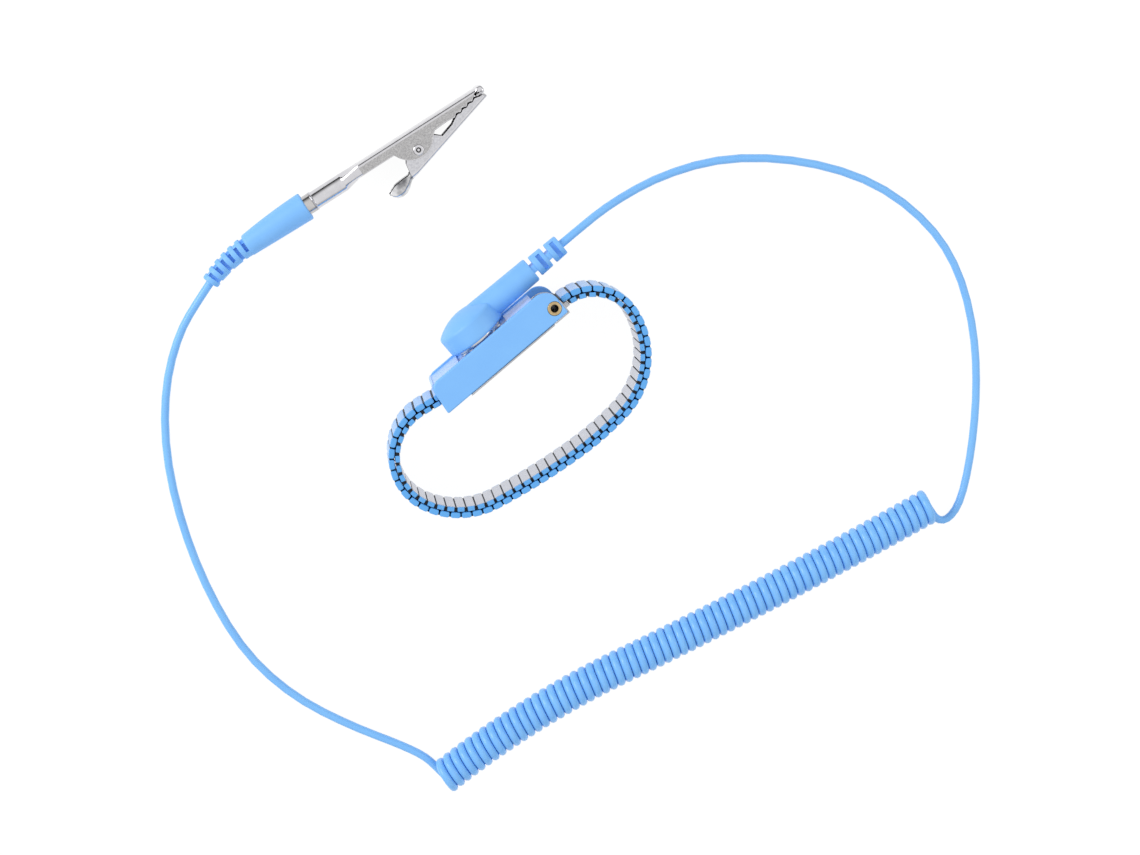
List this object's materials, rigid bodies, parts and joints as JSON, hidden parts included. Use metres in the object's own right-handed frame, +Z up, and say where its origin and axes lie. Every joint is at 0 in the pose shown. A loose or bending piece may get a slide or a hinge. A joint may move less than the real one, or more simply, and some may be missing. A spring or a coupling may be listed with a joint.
{
  "type": "esd wrist strap",
  "caption": "Metal expansion band in a latched buckle, snap connector with series resistor, coil cord, and a banana plug carrying an alligator clip.",
  "frame": {"origin": "centre of the wristband and connector's footprint on the surface they lie on", "axes": "+X along the buckle towards the cord's strain relief, +Y out of the wrist through the snap, +Z up off the surface"},
  "size_m": [0.21, 0.1799, 0.0164],
  "materials": {
    "sky_blue_plastic": "satin moulded",
    "cord_jacket": "satin extruded polyurethane",
    "band_enamel": "enamel over stainless shells",
    "brass": "polished",
    "plug_metal": "nickel plated",
    "spring_steel": "brushed",
    "clip_steel": "zinc plated",
    "snap_nickel": "nickel plated",
    "resistor_body": "lacquered",
    "conductor": "inner cover over tinsel"
  },
  "bodies": {
    "connector": {"connector_moulding": "sky_blue_plastic", "snap_socket": "snap_nickel", "resistor": "resistor_body", "wire_crimp": "conductor", "lead_to_wrist": "cord_jacket", "coil": "cord_jacket", "lead_to_clip": "cord_jacket", "plug_sleeve": "sky_blue_plastic", "plug_conductor": "conductor", "banana_plug": "plug_metal"},
    "snap_ring": {"snap_spring": "spring_steel"},
    "buckle": {"housing": "sky_blue_plastic", "hinge_eyelet": "brass", "snap_stud": "snap_nickel", "stud_rivet": "brass", "contact_strip": "spring_steel", "band_anchor": "spring_steel", "band_end": "band_enamel"},
    "latch": {"latch_plate": "spring_steel"},
    "plug_cage": {"plug_spring_cage": "spring_steel"},
    "clip": {"clip_upper_jaw": "clip_steel", "clip_rivet": "clip_steel", "clip_spring": "spring_steel"},
    "jaw": {"clip_lower_jaw": "clip_steel"},
    "band_links_01": {"band_links_01": "band_enamel"},
    "band_links_02": {"band_links_02": "band_enamel"},
    "band_links_03": {"band_links_03": "band_enamel"},
    "band_links_04": {"band_links_04": "band_enamel"},
    "band_links_05": {"band_links_05": "band_enamel"},
    "band_links_06": {"band_links_06": "band_enamel"},
    "band_links_07": {"band_links_07": "band_enamel"},
    "band_links_08": {"band_links_08": "band_enamel"},
    "band_links_09": {"band_links_09": "band_enamel"},
    "band_links_10": {"band_links_10": "band_enamel"},
    "band_links_11": {"band_links_11": "band_enamel"},
    "band_links_12": {"band_links_12": "band_enamel"},
    "band_links_13": {"band_links_13": "band_enamel"},
    "band_links_14": {"band_links_14": "band_enamel"},
    "band_links_15": {"band_links_15": "band_enamel"},
    "band_links_16": {"band_links_16": "band_enamel"},
    "band_links_17": {"band_links_17": "band_enamel"},
    "band_links_18": {"band_links_18": "band_enamel"},
    "band_links_19": {"band_links_19": "band_enamel"},
    "band_links_20": {"band_links_20": "band_enamel"},
    "band_links_21": {"band_links_21": "band_enamel"},
    "band_links_22": {"band_links_22": "band_enamel"},
    "band_links_23": {"band_links_23": "band_enamel"},
    "band_links_24": {"band_links_24": "band_enamel"},
    "band_links_25": {"band_links_25": "band_enamel"},
    "band_links_26": {"band_links_26": "band_enamel"}
  },
  "joints": [
    {"name": "snap_swivel", "type": "hinge", "parent": "connector", "child": "snap_ring", "pos_m": [0.00268, 0.01679, 0.0082], "axis": [0, 1, 0], "continuous": true},
    {"name": "snap_release", "type": "slide", "parent": "snap_ring", "child": "buckle", "axis": [0, -1, 0], "range_m": [0, 0.008], "deforming": ["snap_spring"]},
    {"name": "latch_hinge", "type": "hinge", "parent": "buckle", "child": "latch", "pos_m": [0.02194, 0.01024, 0.0082], "axis": [0, 0, 1], "range_deg": [0, 75]},
    {"name": "clip_turn", "type": "hinge", "parent": "connector", "child": "plug_cage", "pos_m": [-0.00699, 0.06868, 0.00425], "axis": [0.9907, -0.1357, 0], "continuous": true},
    {"name": "clip_release", "type": "slide", "parent": "plug_cage", "child": "clip", "axis": [0.9907, -0.1357, 0], "range_m": [0, 0.018]},
    {"name": "clip_jaw", "type": "hinge", "parent": "clip", "child": "jaw", "pos_m": [0.02162, 0.06163, 0.00425], "axis": [0, 0, -1], "range_deg": [0, 28], "stiffness_Nm_per_rad": 0.05, "springref_deg": -20.05},
    {"name": "band_stretch", "type": "slide", "parent": "buckle", "child": "band_links_01", "axis": [0.9999, 0.0157, 0], "range_m": [0, 0.00194], "stiffness_N_per_m": 12000},
    {"name": "band_gap_02", "type": "slide", "parent": "band_links_01", "child": "band_links_02", "axis": [0.9035, -0.4286, 0], "range_m": [0, 0.00191]},
    {"name": "band_gap_03", "type": "slide", "parent": "band_links_02", "child": "band_links_03", "axis": [0.6204, -0.7843, 0], "range_m": [0, 0.00177]},
    {"name": "band_gap_04", "type": "slide", "parent": "band_links_03", "child": "band_links_04", "axis": [0.2092, -0.9779, 0], "range_m": [0, 0.00156]},
    {"name": "band_gap_05", "type": "slide", "parent": "band_links_04", "child": "band_links_05", "axis": [-0.1791, -0.9838, 0], "range_m": [0, 0.00135]},
    {"name": "band_gap_06", "type": "slide", "parent": "band_links_05", "child": "band_links_06", "axis": [-0.4267, -0.9044, 0], "range_m": [0, 0.00122]},
    {"name": "band_gap_07", "type": "slide", "parent": "band_links_06", "child": "band_links_07", "axis": [-0.6454, -0.7638, 0], "range_m": [0, 0.0011]},
    {"name": "band_gap_08", "type": "slide", "parent": "band_links_07", "child": "band_links_08", "axis": [-0.8205, -0.5716, 0], "range_m": [0, 0.00101]},
    {"name": "band_gap_09", "type": "slide", "parent": "band_links_08", "child": "band_links_09", "axis": [-0.9401, -0.3408, 0], "range_m": [0, 0.00094073]},
    {"name": "band_gap_10", "type": "slide", "parent": "band_links_09", "child": "band_links_10", "axis": [-0.9943, -0.1063, 0], "range_m": [0, 0.00090702]},
    {"name": "band_gap_11", "type": "slide", "parent": "band_links_10", "child": "band_links_11", "axis": [-0.9993, -0.0383, 0], "range_m": [0, 0.00090287]},
    {"name": "band_gap_12", "type": "slide", "parent": "band_links_11", "child": "band_links_12", "axis": [-0.9996, 0.0299, 0], "range_m": [0, 0.00090114]},
    {"name": "band_gap_13", "type": "slide", "parent": "band_links_12", "child": "band_links_13", "axis": [-0.9962, 0.0876, 0], "range_m": [0, 0.00090158]},
    {"name": "band_gap_14", "type": "slide", "parent": "band_links_15", "child": "band_links_14", "axis": [0.9886, -0.1509, 0], "range_m": [0, 0.00090408]},
    {"name": "band_gap_15", "type": "slide", "parent": "band_links_16", "child": "band_links_15", "axis": [0.9832, -0.1823, 0], "range_m": [0, 0.00090613]},
    {"name": "band_gap_16", "type": "slide", "parent": "band_links_17", "child": "band_links_16", "axis": [0.9769, -0.2136, 0], "range_m": [0, 0.0009087]},
    {"name": "band_gap_17", "type": "slide", "parent": "band_links_18", "child": "band_links_17", "axis": [0.912, -0.4101, 0], "range_m": [0, 0.00093803]},
    {"name": "band_gap_18", "type": "slide", "parent": "band_links_19", "child": "band_links_18", "axis": [0.7708, -0.637, 0], "range_m": [0, 0.00101]},
    {"name": "band_gap_19", "type": "slide", "parent": "band_links_20", "child": "band_links_19", "axis": [0.5746, -0.8184, 0], "range_m": [0, 0.0011]},
    {"name": "band_gap_20", "type": "slide", "parent": "band_links_21", "child": "band_links_20", "axis": [0.3025, -0.9531, 0], "range_m": [0, 0.00124]},
    {"name": "band_gap_21", "type": "slide", "parent": "band_links_22", "child": "band_links_21", "axis": [-0.0834, -0.9965, 0], "range_m": [0, 0.00144]},
    {"name": "band_gap_22", "type": "slide", "parent": "band_links_23", "child": "band_links_22", "axis": [-0.4568, -0.8896, 0], "range_m": [0, 0.00164]},
    {"name": "band_gap_23", "type": "slide", "parent": "band_links_24", "child": "band_links_23", "axis": [-0.7612, -0.6485, 0], "range_m": [0, 0.00181]},
    {"name": "band_gap_24", "type": "slide", "parent": "band_links_25", "child": "band_links_24", "axis": [-0.9509, -0.3096, 0], "range_m": [0, 0.00191]},
    {"name": "band_gap_25", "type": "slide", "parent": "band_links_26", "child": "band_links_25", "axis": [-0.9971, 0.076, 0], "range_m": [0, 0.00195]},
    {"name": "band_gap_26", "type": "slide", "parent": "buckle", "child": "band_links_26", "axis": [-0.9846, 0.175, 0], "range_m": [0, 0.00194]}
  ],
  "couplings": [
    {"joint": "band_gap_02", "follows": "band_stretch", "ratio": 0.97942},
    {"joint": "band_gap_03", "follows": "band_stretch", "ratio": 0.90769},
    {"joint": "band_gap_04", "follows": "band_stretch", "ratio": 0.79963},
    {"joint": "band_gap_05", "follows": "band_stretch", "ratio": 0.6955},
    {"joint": "band_gap_06", "follows": "band_stretch", "ratio": 0.62813},
    {"joint": "band_gap_07", "follows": "band_stretch", "ratio": 0.56776},
    {"joint": "band_gap_08", "follows": "band_stretch", "ratio": 0.51849},
    {"joint": "band_gap_09", "follows": "band_stretch", "ratio": 0.48364},
    {"joint": "band_gap_10", "follows": "band_stretch", "ratio": 0.46631},
    {"joint": "band_gap_11", "follows": "band_stretch", "ratio": 0.46418},
    {"joint": "band_gap_12", "follows": "band_stretch", "ratio": 0.46329},
    {"joint": "band_gap_13", "follows": "band_stretch", "ratio": 0.46351},
    {"joint": "band_gap_14", "follows": "band_stretch", "ratio": 0.4648},
    {"joint": "band_gap_15", "follows": "band_stretch", "ratio": 0.46585},
    {"joint": "band_gap_16", "follows": "band_stretch", "ratio": 0.46717},
    {"joint": "band_gap_17", "follows": "band_stretch", "ratio": 0.48225},
    {"joint": "band_gap_18", "follows": "band_stretch", "ratio": 0.51745},
    {"joint": "band_gap_19", "follows": "band_stretch", "ratio": 0.56795},
    {"joint": "band_gap_20", "follows": "band_stretch", "ratio": 0.63935},
    {"joint": "band_gap_21", "follows": "band_stretch", "ratio": 0.7424},
    {"joint": "band_gap_22", "follows": "band_stretch", "ratio": 0.84386},
    {"joint": "band_gap_23", "follows": "band_stretch", "ratio": 0.92843},
    {"joint": "band_gap_24", "follows": "band_stretch", "ratio": 0.98335},
    {"joint": "band_gap_25", "follows": "band_stretch", "ratio": 1.0003},
    {"joint": "band_gap_26", "follows": "band_stretch", "ratio": 0.99816}
  ]
}
